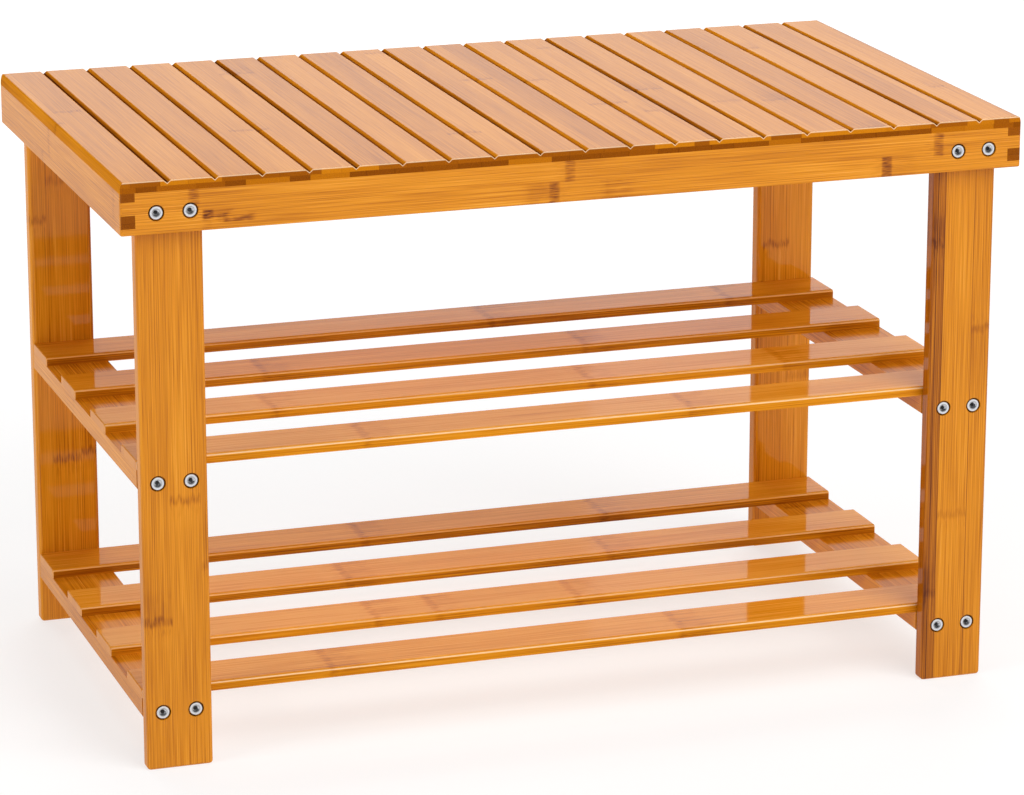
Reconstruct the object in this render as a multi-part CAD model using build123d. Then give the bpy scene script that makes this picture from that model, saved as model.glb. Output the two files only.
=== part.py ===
from build123d import *
import os

# Bamboo entryway bench with a grooved seat and two open slatted shelves, in millimetres.
# Origin: centre of the footprint on the floor. +X runs along the bench, -Y is the front, +Z is up.

# Overall size
BENCH_LENGTH = 700
BENCH_DEPTH = 400
BENCH_HEIGHT = 450

# Seat frame: four rails on edge, finger-jointed at the corners
LONG_RAIL_THICKNESS = 14
END_RAIL_THICKNESS = 11
RAIL_HEIGHT = 31
FINGER_HEIGHT = 9.75
TOP_FINGER_HEIGHT = 6.4
FRAME_CORNER_RADIUS = 2
FRAME_EDGE_RADIUS = 1.2

# Seat panel: one laminated board on the frame, grooved front to back to look like slats
PANEL_THICKNESS = 8
PANEL_END_LEAN = 1.8
PANEL_END_RADIUS = 1.8
PANEL_FRONT_RADIUS = 1
GROOVE_USUAL_PITCH = 35
GROOVE_WIDTH = 5.2
GROOVE_DEPTH = 2.2
GROOVE_SHOULDER_RADIUS = 1

# Legs: flat boards inside the frame
LEG_WIDTH = 50
LEG_THICKNESS = 14
LEG_TO_END_RAIL_GAP = 3
LEG_EDGE_RADIUS = 3
LEG_FOOT_RADIUS = 2.5

# Shelves: cross rails between the legs, long slats on top of them
SHELF_RAIL_BOTTOMS = {"lower": 37, "upper": 213.5}
SHELF_RAIL_THICKNESS = 15
SHELF_RAIL_EDGE_RADIUS = 2
SHELF_SLAT_COUNT = 4
SHELF_SLAT_WIDTH = 47
SHELF_SLAT_THICKNESS = 7
SHELF_SLAT_EDGE_RADIUS = 2.4
SHELF_SLAT_TIP_RADIUS = 0.8
SHELF_TO_LEG_CLEARANCE = 0.3

# Socket-head screws that hold the legs, two at each joint
SCREW_SPACING = 25
SCREW_HEAD_DIAMETER = 10.4
SCREW_HEAD_HEIGHT = 3.2
SCREW_HEAD_CHAMFER = 0.5
SCREW_HEAD_RECESS = 0.5
SCREW_SHANK_DIAMETER = 6
SCREW_TIP_LENGTH = 4
SCREW_TIP_DIAMETER = 2
SOCKET_ACROSS_FLATS = 4
SOCKET_DEPTH = 2.2
SOCKET_MOUTH_DIAMETER = 5.6
SOCKET_MOUTH_DEPTH = 0.6
SHELF_SCREW_BITE = 38
SEAT_SCREW_COVER = 2.5
SCREW_TURN_STEP = 37
COUNTERBORE_CLEARANCE = 0.8
SHANK_CLEARANCE = 0.1
HOLE_END_CLEARANCE = 1

# Countersunk screws that hold the shelf slats from below
SLAT_SCREW_HEAD_DIAMETER = 6.5
SLAT_SCREW_HEAD_HEIGHT = 2
SLAT_SCREW_DIAMETER = 3.2
SLAT_SCREW_COVER = 2.5
SLAT_SCREW_RECESS = 0.3

# Places that follow from the sizes above
RAIL_TOP = BENCH_HEIGHT - PANEL_THICKNESS
RAIL_BOTTOM = RAIL_TOP - RAIL_HEIGHT
HALF_LENGTH = BENCH_LENGTH / 2
HALF_DEPTH = BENCH_DEPTH / 2
FRAME_INNER_X = HALF_LENGTH - END_RAIL_THICKNESS
FRAME_INNER_Y = HALF_DEPTH - LONG_RAIL_THICKNESS
LEG_OUTER_X = FRAME_INNER_X - LEG_TO_END_RAIL_GAP
LEG_INNER_X = LEG_OUTER_X - LEG_WIDTH
LEG_CENTRE_X = LEG_OUTER_X - LEG_WIDTH / 2
LEG_INNER_Y = FRAME_INNER_Y - LEG_THICKNESS
COUNTERBORE_DEPTH = SCREW_HEAD_HEIGHT + SCREW_HEAD_RECESS
SEAT_SCREW_Z = RAIL_BOTTOM + RAIL_HEIGHT / 2
SEAT_SCREW_BITE = LEG_THICKNESS - SEAT_SCREW_COVER
SLAT_SCREW_BITE = SHELF_SLAT_THICKNESS - SLAT_SCREW_COVER

# Directions: sides along X, ends along Y
SIDES = {"left": -1, "right": 1}
ENDS = {"front": -1, "back": 1}
DOWN = (Align.CENTER, Align.CENTER, Align.MAX)
UP = (Align.CENTER, Align.CENTER, Align.MIN)
FLAT_UP = (Align.CENTER, Align.MIN)


def slab(x_range, y_range, z_range):
    """Block between the given limits, which may come in either order."""
    spans = [sorted(limits) for limits in (x_range, y_range, z_range)]
    sizes = [high - low for low, high in spans]
    middle = [(high + low) / 2 for low, high in spans]
    return Pos(*middle) * Box(*sizes)


def screw_places(side, end, face_y, height):
    """Places of one leg's two screws at one height, with +Z out of the front or back face."""
    for offset in (-SCREW_SPACING / 2, SCREW_SPACING / 2):
        yield Pos(side * LEG_CENTRE_X + offset, end * face_y, height) * Rot(-90 * end, 0, 0)


def shelf_screw_z(level):
    """Height of the screws into one shelf's cross rails, at the middle of their thickness."""
    return SHELF_RAIL_BOTTOMS[level] + SHELF_RAIL_THICKNESS / 2


def shelf_slat_centres():
    """Places along Y of a shelf's slats, evenly spread between the front and back legs."""
    reach = LEG_INNER_Y - SHELF_TO_LEG_CLEARANCE - SHELF_SLAT_WIDTH / 2
    pitch = 2 * reach / (SHELF_SLAT_COUNT - 1)
    return [-reach + index * pitch for index in range(SHELF_SLAT_COUNT)]


# Screws and the holes that they sit in


def counterbored_hole(thickness):
    """Cutter for a hole through a board, with a seat for the screw head at its outer face."""
    seat_radius = SCREW_HEAD_DIAMETER / 2 + COUNTERBORE_CLEARANCE
    head_seat = Cylinder(seat_radius, COUNTERBORE_DEPTH, align=DOWN)
    shank_hole = Cylinder(SCREW_SHANK_DIAMETER / 2 + SHANK_CLEARANCE, thickness, align=DOWN)
    return head_seat + shank_hole


def blind_hole(board_thickness, bite):
    """Cutter for the hole that a screw bites, behind a board of the given thickness."""
    radius = SCREW_SHANK_DIAMETER / 2 + SHANK_CLEARANCE
    hole = Cylinder(radius, bite + HOLE_END_CLEARANCE, align=DOWN)
    return Pos(0, 0, -board_thickness) * hole


def socket_screw(board_thickness, bite):
    """Screw with its head in the counterbore of a board and its shank in the piece behind."""
    head = Cylinder(SCREW_HEAD_DIAMETER / 2, SCREW_HEAD_HEIGHT, align=DOWN)
    head = chamfer(head.edges().group_by(Axis.Z)[-1], SCREW_HEAD_CHAMFER)
    socket_outline = RegularPolygon(SOCKET_ACROSS_FLATS / 2, 6, major_radius=False)
    head -= extrude(socket_outline, -SOCKET_DEPTH)
    head -= Cone(
        SOCKET_ACROSS_FLATS / 2, SOCKET_MOUTH_DIAMETER / 2, SOCKET_MOUTH_DEPTH, align=DOWN
    )
    plain_length = board_thickness - COUNTERBORE_DEPTH + bite - SCREW_TIP_LENGTH
    shank = Cylinder(SCREW_SHANK_DIAMETER / 2, plain_length, align=DOWN)
    tip = Cone(SCREW_TIP_DIAMETER / 2, SCREW_SHANK_DIAMETER / 2, SCREW_TIP_LENGTH, align=DOWN)
    shank += Pos(0, 0, -plain_length) * tip
    return Pos(0, 0, -SCREW_HEAD_RECESS) * (head + Pos(0, 0, -SCREW_HEAD_HEIGHT) * shank)


def leg_screws(face_y, height, board_thickness, bite):
    """All eight screws at one height, each stopped at its own turn."""
    screw = socket_screw(board_thickness, bite)
    screws = []
    for side in SIDES.values():
        for end in ENDS.values():
            for place in screw_places(side, end, face_y, height):
                turn = Rot(0, 0, SCREW_TURN_STEP * len(screws))
                screws.append(place * turn * screw)
    return Compound(screws)


def slat_screw(clearance=0.0):
    """Countersunk screw up from its head, or with a clearance the cutter for its hole."""
    top_radius = SLAT_SCREW_DIAMETER / 2 + clearance
    head_radius = SLAT_SCREW_HEAD_DIAMETER / 2 + clearance
    length = SHELF_RAIL_THICKNESS - SLAT_SCREW_RECESS + SLAT_SCREW_BITE + clearance
    head = Cone(head_radius, top_radius, SLAT_SCREW_HEAD_HEIGHT, align=UP)
    return Pos(0, 0, SLAT_SCREW_RECESS) * (head + Cylinder(top_radius, length, align=UP))


def slat_screw_hole():
    """Cutter for a slat screw's hole, with the short well below its head."""
    well_radius = SLAT_SCREW_HEAD_DIAMETER / 2 + SHANK_CLEARANCE
    return slat_screw(SHANK_CLEARANCE) + Cylinder(well_radius, SLAT_SCREW_RECESS, align=UP)


def slat_screw_places(level, side):
    """Places of one cross rail's slat screws, at the rail's underside."""
    for y in shelf_slat_centres():
        yield Pos(side * LEG_CENTRE_X, y, SHELF_RAIL_BOTTOMS[level])


# Seat


def seat_ring():
    """Whole outline of the seat frame, before it is parted into four rails."""
    outline = RectangleRounded(BENCH_LENGTH, BENCH_DEPTH, FRAME_CORNER_RADIUS)
    opening = Rectangle(2 * FRAME_INNER_X, 2 * FRAME_INNER_Y)
    ring = Pos(0, 0, RAIL_BOTTOM) * extrude(outline - opening, RAIL_HEIGHT)
    lowest = ring.faces().sort_by(Axis.Z)[0]
    return fillet(lowest.outer_wire().edges(), FRAME_EDGE_RADIUS)


def corner_fingers(first_row):
    """Blocks at the four frame corners in every second finger row, counted from the top."""
    levels = [RAIL_TOP]
    for height in (TOP_FINGER_HEIGHT, FINGER_HEIGHT, FINGER_HEIGHT):
        levels.append(levels[-1] - height)
    levels.append(RAIL_BOTTOM)
    rows = list(zip(levels, levels[1:]))[first_row::2]
    blocks = []
    for side in SIDES.values():
        for end in ENDS.values():
            x_range = (side * FRAME_INNER_X, side * HALF_LENGTH)
            y_range = (end * FRAME_INNER_Y, end * HALF_DEPTH)
            blocks += [slab(x_range, y_range, row) for row in rows]
    return blocks


def long_rail(ring, end):
    """Front or back rail: fingers in the second and fourth rows, four counterbored screw holes."""
    x_range = (-HALF_LENGTH, HALF_LENGTH)
    y_range = (end * FRAME_INNER_Y, end * HALF_DEPTH)
    rail = ring & slab(x_range, y_range, (RAIL_BOTTOM, RAIL_TOP))
    rail -= corner_fingers(first_row=0)
    for side in SIDES.values():
        for place in screw_places(side, end, HALF_DEPTH, SEAT_SCREW_Z):
            rail -= place * counterbored_hole(LONG_RAIL_THICKNESS)
    return rail


def end_rail(ring, side):
    """Left or right rail: fingers in the first and third rows."""
    x_range = (side * FRAME_INNER_X, side * HALF_LENGTH)
    y_range = (-HALF_DEPTH, HALF_DEPTH)
    rail = ring & slab(x_range, y_range, (RAIL_BOTTOM, RAIL_TOP))
    return rail - corner_fingers(first_row=1)


def groove_centres():
    """Places along X of the seat grooves, evenly spread at about the usual pitch."""
    boards = round(BENCH_LENGTH / GROOVE_USUAL_PITCH)
    pitch = BENCH_LENGTH / boards
    return [-HALF_LENGTH + number * pitch for number in range(1, boards)]


def panel_profile():
    """Cross-section of the seat panel along X, grooved, with ends that bow in towards the top."""
    bow_radius = (PANEL_THICKNESS**2 + PANEL_END_LEAN**2) / (2 * PANEL_END_LEAN)
    bow_centre = HALF_LENGTH - bow_radius
    profile = Rectangle(2 * bow_centre, PANEL_THICKNESS, align=FLAT_UP)
    profile += [Pos(side * bow_centre, 0) * Circle(bow_radius) for side in SIDES.values()]
    profile &= Rectangle(BENCH_LENGTH, PANEL_THICKNESS, align=FLAT_UP)
    profile = Pos(0, RAIL_TOP) * profile
    rim = (-GROOVE_WIDTH / 2, 0), (GROOVE_WIDTH / 2, 0)
    groove = Polygon(*rim, (0, -GROOVE_DEPTH), align=None)
    profile -= [Pos(x, BENCH_HEIGHT) * groove for x in groove_centres()]
    upper = profile.vertices().group_by(Axis.Y)[-1].sort_by(Axis.X)
    profile = fillet(upper[1:-1], GROOVE_SHOULDER_RADIUS)
    corners = profile.vertices().group_by(Axis.Y)[-1].sort_by(Axis.X)
    return fillet([corners[0], corners[-1]], PANEL_END_RADIUS)


def front_edge_waste(end):
    """Sliver to take off the panel's front or back top edge so that it is rounded."""
    y_range = (end * HALF_DEPTH, end * (HALF_DEPTH - PANEL_FRONT_RADIUS))
    z_range = (BENCH_HEIGHT - PANEL_FRONT_RADIUS, BENCH_HEIGHT)
    edge = slab((-HALF_LENGTH, HALF_LENGTH), y_range, z_range)
    rounding = Rot(0, 90, 0) * Cylinder(PANEL_FRONT_RADIUS, BENCH_LENGTH)
    return edge - Pos(0, y_range[1], z_range[0]) * rounding


def seat_panel():
    """Grooved seat board, flush with the frame all round."""
    panel = extrude(Plane.XZ * panel_profile(), HALF_DEPTH, both=True)
    outline = RectangleRounded(BENCH_LENGTH, BENCH_DEPTH, FRAME_CORNER_RADIUS)
    panel &= Pos(0, 0, RAIL_TOP) * extrude(outline, PANEL_THICKNESS)
    return panel - [front_edge_waste(end) for end in ENDS.values()]


# Legs and shelves


def leg(side, end):
    """Leg board: screw seats at both shelves, blind holes for the screws of the seat rail."""
    x_range = (side * LEG_OUTER_X, side * LEG_INNER_X)
    board = slab(x_range, (end * FRAME_INNER_Y, end * LEG_INNER_Y), (0, RAIL_TOP))
    board = fillet(board.edges().filter_by(Axis.Z), LEG_EDGE_RADIUS)
    foot = board.faces().sort_by(Axis.Z)[0]
    board = fillet(foot.outer_wire().edges(), LEG_FOOT_RADIUS)
    for place in screw_places(side, end, HALF_DEPTH, SEAT_SCREW_Z):
        board -= place * blind_hole(LONG_RAIL_THICKNESS, SEAT_SCREW_BITE)
    for level in SHELF_RAIL_BOTTOMS:
        for place in screw_places(side, end, FRAME_INNER_Y, shelf_screw_z(level)):
            board -= place * counterbored_hole(LEG_THICKNESS)
    return board


def cross_rail(level, side):
    """Shelf rail between two legs, rounded below and square above, where slat ends lie flush."""
    bottom = SHELF_RAIL_BOTTOMS[level]
    x_range = (side * LEG_OUTER_X, side * LEG_INNER_X)
    rail = slab(x_range, (-LEG_INNER_Y, LEG_INNER_Y), (bottom, bottom + SHELF_RAIL_THICKNESS))
    lower_edges = rail.edges().filter_by(Axis.Y).group_by(Axis.Z)[0]
    rail = fillet(lower_edges, SHELF_RAIL_EDGE_RADIUS)
    for end in ENDS.values():
        for place in screw_places(side, end, FRAME_INNER_Y, shelf_screw_z(level)):
            rail -= place * blind_hole(LEG_THICKNESS, SHELF_SCREW_BITE)
    for place in slat_screw_places(level, side):
        rail -= place * slat_screw_hole()
    return rail


def shelf_slat(level, centre_y):
    """Long shelf slat, flush with the outer faces of both cross rails."""
    bottom = SHELF_RAIL_BOTTOMS[level] + SHELF_RAIL_THICKNESS
    y_range = (centre_y - SHELF_SLAT_WIDTH / 2, centre_y + SHELF_SLAT_WIDTH / 2)
    slat = slab((-LEG_OUTER_X, LEG_OUTER_X), y_range, (bottom, bottom + SHELF_SLAT_THICKNESS))
    upper_edges = slat.edges().filter_by(Axis.X).group_by(Axis.Z)[-1]
    slat = fillet(upper_edges, SHELF_SLAT_EDGE_RADIUS)
    tips = [face.edges().sort_by(Axis.Z)[-1] for face in slat.faces().filter_by(Axis.X)]
    slat = fillet(tips, SHELF_SLAT_TIP_RADIUS)
    for side in SIDES.values():
        for place in slat_screw_places(level, side):
            slat -= place * slat_screw_hole()
    return slat


def bench_pieces():
    """Every piece of the bench in its place, under its own name."""
    ring = seat_ring()
    pieces = {"seat_panel": seat_panel()}
    for end_name, end in ENDS.items():
        pieces[f"seat_{end_name}_rail"] = long_rail(ring, end)
    for side_name, side in SIDES.items():
        pieces[f"seat_{side_name}_end_rail"] = end_rail(ring, side)
    for end_name, end in ENDS.items():
        for side_name, side in SIDES.items():
            pieces[f"{end_name}_{side_name}_leg"] = leg(side, end)
    pieces["seat_rail_screws"] = leg_screws(
        HALF_DEPTH, SEAT_SCREW_Z, LONG_RAIL_THICKNESS, SEAT_SCREW_BITE
    )
    for level in SHELF_RAIL_BOTTOMS:
        for side_name, side in SIDES.items():
            pieces[f"{level}_shelf_{side_name}_cross_rail"] = cross_rail(level, side)
        for number, centre_y in enumerate(shelf_slat_centres(), start=1):
            pieces[f"{level}_shelf_slat_{number}"] = shelf_slat(level, centre_y)
        pieces[f"{level}_shelf_screws"] = leg_screws(
            FRAME_INNER_Y, shelf_screw_z(level), LEG_THICKNESS, SHELF_SCREW_BITE
        )
        places = [place for side in SIDES.values() for place in slat_screw_places(level, side)]
        pieces[f"{level}_shelf_slat_screws"] = Compound([place * slat_screw() for place in places])
    return pieces


os.makedirs("parts", exist_ok=True)
for name, piece in bench_pieces().items():
    export_step(piece, f"parts/{name}.step")
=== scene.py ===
"""Looks of a bamboo entryway bench: grooved seat, finger-jointed frame and two slatted shelves."""

import logging
import math
from dataclasses import dataclass
from enum import Enum
from typing import Any, ClassVar, Union

import bpy
from mathutils import Euler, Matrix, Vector


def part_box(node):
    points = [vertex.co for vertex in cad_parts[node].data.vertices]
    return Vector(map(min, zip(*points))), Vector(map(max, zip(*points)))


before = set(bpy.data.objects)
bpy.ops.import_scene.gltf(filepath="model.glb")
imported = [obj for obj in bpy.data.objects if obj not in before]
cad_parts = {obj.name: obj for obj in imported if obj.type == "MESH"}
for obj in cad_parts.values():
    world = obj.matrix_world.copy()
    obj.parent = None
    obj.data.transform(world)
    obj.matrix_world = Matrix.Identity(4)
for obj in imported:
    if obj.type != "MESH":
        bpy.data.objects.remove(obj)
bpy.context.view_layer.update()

MM = 0.001
HALF = 0.5

# Places of the colour sockets on a Mix node
MIX_FIRST, MIX_SECOND, MIX_RESULT = 6, 7, 2

log = logging.getLogger("bench")

Colour = tuple[float, float, float]
Point = tuple[float, float, float]
Limits = tuple[float, float]
Stops = tuple[tuple[float, Colour], ...]
Number = Union[float, "Reading"]


class Axis(Enum):
    """Axis of the bench, by its place in a vector."""

    X = 0
    Y = 1
    Z = 2


class EndGrain(Enum):
    """Look of a board's cut ends."""

    PALE = "close to the sides"
    BROWN = "dark all over"
    BLOCKS = "two layers of dark and pale blocks"


class Level(Enum):
    """Which of the two shelves, by the word in its pieces' names."""

    LOWER = "lower"
    UPPER = "upper"


def size_of(node: str, axis: Axis) -> float:
    """Size of a node along an axis, in millimetres."""
    low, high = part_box(node)
    return (high - low)[axis.value] / MM


def middle_of(node: str, axis: Axis) -> float:
    """Middle of a node along an axis, in millimetres."""
    low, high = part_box(node)
    return (low + high)[axis.value] / MM / 2


class Reading:
    """Number that varies over a surface: one output of a node, with arithmetic."""

    def __init__(self, sheet: "Sheet", socket: bpy.types.NodeSocket) -> None:
        """Wraps a socket.

        Args:
            sheet: The material's sheet, which adds the nodes.
            socket: The output socket that gives the number.
        """
        self.sheet = sheet
        self.socket = socket

    def math(self, operation: str, *values: Number, clamp: bool = False) -> "Reading":
        """Adds one Math node.

        Args:
            operation: Name of the node's operation.
            values: Its inputs, in order.
            clamp: Whether the result is kept between 0 and 1.

        Returns:
            The node's result.
        """
        settings = {"operation": operation, "use_clamp": clamp}
        node = self.sheet.node("ShaderNodeMath", settings, dict(enumerate(values)))
        return Reading(self.sheet, node.outputs[0])

    def __add__(self, other: Number) -> "Reading":
        """Sum."""
        return self.math("ADD", self, other)

    __radd__ = __add__

    def __sub__(self, other: Number) -> "Reading":
        """Difference."""
        return self.math("SUBTRACT", self, other)

    def __rsub__(self, other: Number) -> "Reading":
        """Difference from a number."""
        return self.math("SUBTRACT", other, self)

    def __mul__(self, other: Number) -> "Reading":
        """Product."""
        return self.math("MULTIPLY", self, other)

    __rmul__ = __mul__

    def __truediv__(self, other: Number) -> "Reading":
        """Quotient."""
        return self.math("DIVIDE", self, other)

    def __rtruediv__(self, other: Number) -> "Reading":
        """Quotient of a number."""
        return self.math("DIVIDE", other, self)

    def __neg__(self) -> "Reading":
        """The same size with the other sign."""
        return self.math("MULTIPLY", self, -1.0)

    def __abs__(self) -> "Reading":
        """Size without sign."""
        return self.math("ABSOLUTE", self)

    def __gt__(self, other: Number) -> "Reading":
        """1 where this is the larger, else 0."""
        return self.math("GREATER_THAN", self, other)

    def __lt__(self, other: Number) -> "Reading":
        """1 where this is the smaller, else 0."""
        return self.math("LESS_THAN", self, other)

    def floor(self) -> "Reading":
        """Whole number at or below."""
        return self.math("FLOOR", self)

    def rounded(self) -> "Reading":
        """Nearest whole number."""
        return (self + HALF).floor()

    def part(self) -> "Reading":
        """What lies past the whole number."""
        return self.math("FRACT", self)

    def matches(self, number: float) -> "Reading":
        """1 where this whole number is the given one, else 0."""
        return abs(self - number) < HALF

    def clamped(self) -> "Reading":
        """Kept between 0 and 1."""
        return self.math("ADD", self, 0.0, clamp=True)

    def diagonal(self, other: "Reading") -> "Reading":
        """Length of the diagonal over this number and another."""
        return self.math("POWER", self * self + other * other, HALF)

    def between(self, low: float, high: float) -> "Reading":
        """Number that goes from one limit, where this is 0, to the other, where it is 1."""
        return self * (high - low) + low

    def ease(self, low: float, high: float) -> "Reading":
        """Smooth step from 0 at one limit to 1 at the other.

        Args:
            low: Limit that gives 0.
            high: Limit that gives 1; it may be the smaller one.

        Returns:
            The step.
        """
        if low > high:
            return 1.0 - self.ease(high, low)
        settings = {"interpolation_type": "SMOOTHSTEP", "clamp": True}
        inputs = {"Value": self, "From Min": low, "From Max": high}
        node = self.sheet.node("ShaderNodeMapRange", settings, inputs)
        return Reading(self.sheet, node.outputs["Result"])


class Sheet:
    """Node tree of one material around its surface shader."""

    def __init__(self, name: str) -> None:
        """Makes the material.

        Args:
            name: The material's name.
        """
        self.material = bpy.data.materials.new(name)
        self.material.use_nodes = True
        self.tree = self.material.node_tree
        self.surface = self.tree.nodes["Principled BSDF"]
        self._shared: dict[str, bpy.types.Node] = {}

    def node(self, kind: str, settings: dict[str, Any], inputs: dict[Any, Any]) -> bpy.types.Node:
        """Adds one node.

        Args:
            kind: The node's type.
            settings: Its properties, set first; "stops" are a ramp's places and colours.
            inputs: Numbers, vectors, colours or links for its sockets.

        Returns:
            The node.
        """
        made = self.tree.nodes.new(kind)
        for key, value in settings.items():
            if key == "stops":
                self._stops(made.color_ramp, value)
            else:
                setattr(made, key, value)
        for key, value in inputs.items():
            self.feed(made.inputs[key], value)
        return made

    @staticmethod
    def _stops(ramp: bpy.types.ColorRamp, stops: Stops) -> None:
        """Sets a ramp's places and colours.

        Args:
            ramp: The ramp.
            stops: Its places and colours, in order.
        """
        while len(ramp.elements) < len(stops):
            ramp.elements.new(1.0)
        for element, (place, colour) in zip(ramp.elements, stops):
            element.position = place
            element.color = (*colour, 1.0)

    def feed(self, socket: bpy.types.NodeSocket, value: Any) -> None:
        """Sets or links one input.

        Args:
            socket: The input.
            value: A reading or socket to link, or a value to set.
        """
        if isinstance(value, Reading):
            value = value.socket
        if isinstance(value, bpy.types.NodeSocket):
            self.tree.links.new(value, socket)
        elif socket.type == "RGBA":
            socket.default_value = (*value, 1.0)
        else:
            socket.default_value = value

    def set_surface(self, **values: Any) -> None:
        """Sets the surface shader's inputs that are the same all over, and links those that vary.

        Args:
            values: Each input's name, with _ for a space, and its value, reading or socket.
        """
        for key, value in values.items():
            self.feed(self.surface.inputs[key.replace("_", " ")], value)

    def coordinates(self, output: str) -> bpy.types.NodeSocket:
        """Texture coordinates of the piece.

        Args:
            output: Which of the node's outputs.

        Returns:
            The output socket.
        """
        if "source" not in self._shared:
            self._shared["source"] = self.node("ShaderNodeTexCoord", {}, {})
        return self._shared["source"].outputs[output]

    def along(self, axis: Axis) -> Reading:
        """Place along one axis.

        Args:
            axis: The axis.

        Returns:
            The place in millimetres.
        """
        if "place" not in self._shared:
            inputs = {0: self.coordinates("Object"), "Scale": 1 / MM}
            scaled = self.node("ShaderNodeVectorMath", {"operation": "SCALE"}, inputs)
            self._shared["place"] = self.node("ShaderNodeSeparateXYZ", {}, {0: scaled.outputs[0]})
        return Reading(self, self._shared["place"].outputs[axis.value])

    def facing(self, axis: Axis) -> Reading:
        """Share of the surface's direction that lies along one axis.

        Args:
            axis: The axis.

        Returns:
            1 where the surface looks straight along the axis, either way, and 0 where square to it.
        """
        if "facing" not in self._shared:
            inputs = {0: self.coordinates("Normal")}
            self._shared["facing"] = self.node("ShaderNodeSeparateXYZ", {}, inputs)
        return abs(Reading(self, self._shared["facing"].outputs[axis.value]))

    def vector(self, x: Number, y: Number, z: Number) -> bpy.types.NodeSocket:
        """Vector of three numbers."""
        return self.node("ShaderNodeCombineXYZ", {}, {0: x, 1: y, 2: z}).outputs[0]

    def noise(self, x: Number, y: Number, z: Number, detail: float) -> Reading:
        """Smooth noise around 0.5.

        Args:
            x: First place where it is read; a step of 1 is about one wave.
            y: Second place.
            z: Third place.
            detail: How many finer layers it has.

        Returns:
            The noise.
        """
        inputs = {"Vector": self.vector(x, y, z), "Scale": 1.0, "Detail": detail}
        node = self.node("ShaderNodeTexNoise", {"noise_dimensions": "3D"}, inputs)
        return Reading(self, node.outputs["Fac"])

    def chance(self, first: Number, second: Number) -> Reading:
        """Random number from 0 to 1.

        Args:
            first: Whole number that chooses it.
            second: Another whole number that does.

        Returns:
            The random number, which is the same each time.
        """
        place = self.vector(first, second, HALF)
        node = self.node("ShaderNodeTexWhiteNoise", {"noise_dimensions": "3D"}, {"Vector": place})
        return Reading(self, node.outputs["Value"])

    def ramp(self, factor: Reading, stops: Stops) -> bpy.types.NodeSocket:
        """Colour from a row of stops."""
        node = self.node("ShaderNodeValToRGB", {"stops": stops}, {"Fac": factor})
        return node.outputs["Color"]

    def blend(self, factor: Number, first: Any, second: Any) -> bpy.types.NodeSocket:
        """Mix of two colours.

        Args:
            factor: Share of the second colour.
            first: The first colour.
            second: The second colour.

        Returns:
            The mixed colour.
        """
        inputs = {"Factor": factor, MIX_FIRST: first, MIX_SECOND: second}
        return self.node("ShaderNodeMix", {"data_type": "RGBA"}, inputs).outputs[MIX_RESULT]

    def bump(self, height: Reading, depth: float) -> bpy.types.NodeSocket:
        """Bumped direction of the surface.

        Args:
            height: Height from 0 to 1.
            depth: Height of 1, in metres.

        Returns:
            The direction.
        """
        node = self.node("ShaderNodeBump", {}, {"Height": height, "Distance": depth})
        return node.outputs["Normal"]


@dataclass
class Place:
    """Place on a board in millimetres: along its grain, across it and through the board."""

    along: Reading
    across: Reading
    through: Reading


@dataclass(frozen=True)
class Waves:
    """Noise on a board, with its waves to the millimetre along and across the grain."""

    along: float
    across: float
    detail: float = 2.0
    start: float = 0.0

    def read(self, sheet: Sheet, place: Place, shift: Number = 0.0, lift: Number = 0.0) -> Reading:
        """Reads the noise.

        Args:
            sheet: The material's sheet.
            place: Where it is read.
            shift: Waves to go on along the grain.
            lift: Waves to go on through the board.

        Returns:
            The noise, around 0.5.
        """
        return sheet.noise(
            place.along * self.along + shift,
            place.across * self.across,
            place.through * self.across + (self.start + lift),
            self.detail,
        )


@dataclass(frozen=True)
class Spots:
    """Spots with soft edges, where noise goes past its limits."""

    waves: Waves
    limits: Limits

    def read(self, sheet: Sheet, place: Place, shift: Number = 0.0) -> Reading:
        """1 in the spots, else 0."""
        return self.waves.read(sheet, place, shift).ease(*self.limits)


@dataclass(frozen=True)
class Stretch:
    """Stretch of a number that fades in at one end and out at the other."""

    fade_in: Limits
    fade_out: Limits

    def at(self, distance: Reading) -> Reading:
        """1 inside the stretch, else 0."""
        return distance.ease(*self.fade_in) * distance.ease(*self.fade_out)


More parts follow.
